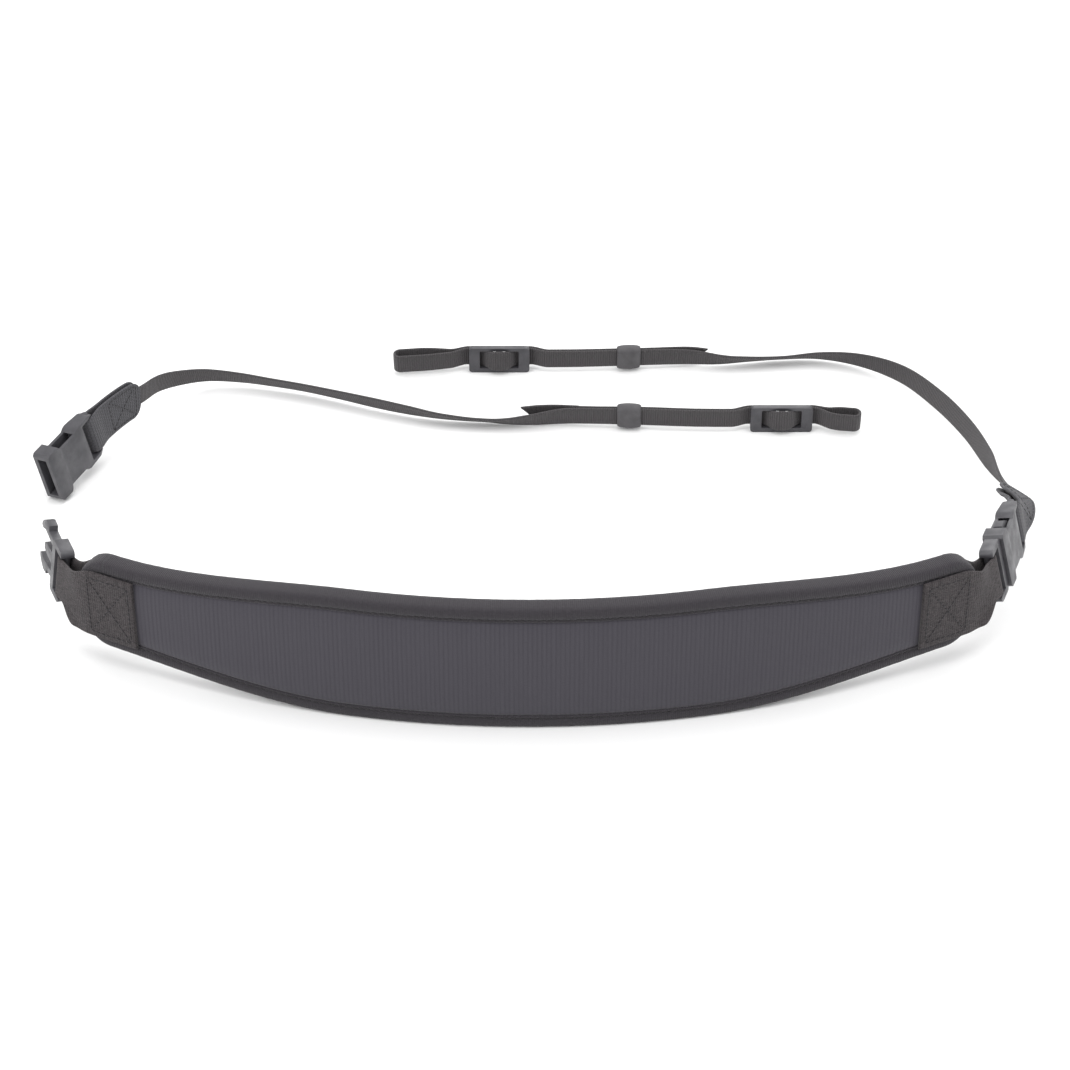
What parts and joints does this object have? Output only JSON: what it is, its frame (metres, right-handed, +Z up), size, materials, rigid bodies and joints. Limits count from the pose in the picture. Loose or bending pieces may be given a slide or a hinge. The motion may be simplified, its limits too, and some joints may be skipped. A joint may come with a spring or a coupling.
{
  "type": "camera neck strap",
  "caption": "Padded neck strap for a camera: curved neoprene pad, side-release buckles and narrow webbing adapters with sliders, keepers and lug loops.",
  "frame": {"origin": "under the middle of the bounding box, on the surface the strap stands on", "axes": "+Z up; +X to the right along the loop seen from the outside of the pad; +Y from the pad towards the adapters"},
  "size_m": [0.4834, 0.2886, 0.068],
  "materials": {
    "neoprene": "matt foam core with a cloth skin",
    "facing": "fine ribbed knit, matt",
    "binding": "ribbed edge tape, matt",
    "heavy_webbing": "coarse heathered weave, matt",
    "sleeve_webbing": "plain weave, slight sheen",
    "narrow_webbing": "ribbed weave, slight sheen",
    "plastic": "moulded, satin",
    "keeper": "moulded, satin"
  },
  "bodies": {
    "root": {"pad": "neoprene", "facing": "facing", "binding": "binding", "end_tab_left": "heavy_webbing", "male_buckle_left": "plastic", "end_tab_right": "heavy_webbing", "male_buckle_right": "plastic", "female_buckle_right": "plastic", "sleeve_right": "sleeve_webbing", "webbing_right": "narrow_webbing", "webbing_tail_right": "narrow_webbing", "lug_loop_right": "narrow_webbing", "slider_right": "plastic", "keeper_right": "keeper", "female_buckle_left": "plastic", "sleeve_left": "sleeve_webbing", "webbing_left": "narrow_webbing", "webbing_tail_left": "narrow_webbing", "lug_loop_left": "narrow_webbing", "slider_left": "plastic", "keeper_left": "keeper"}
  },
  "joints": []
}
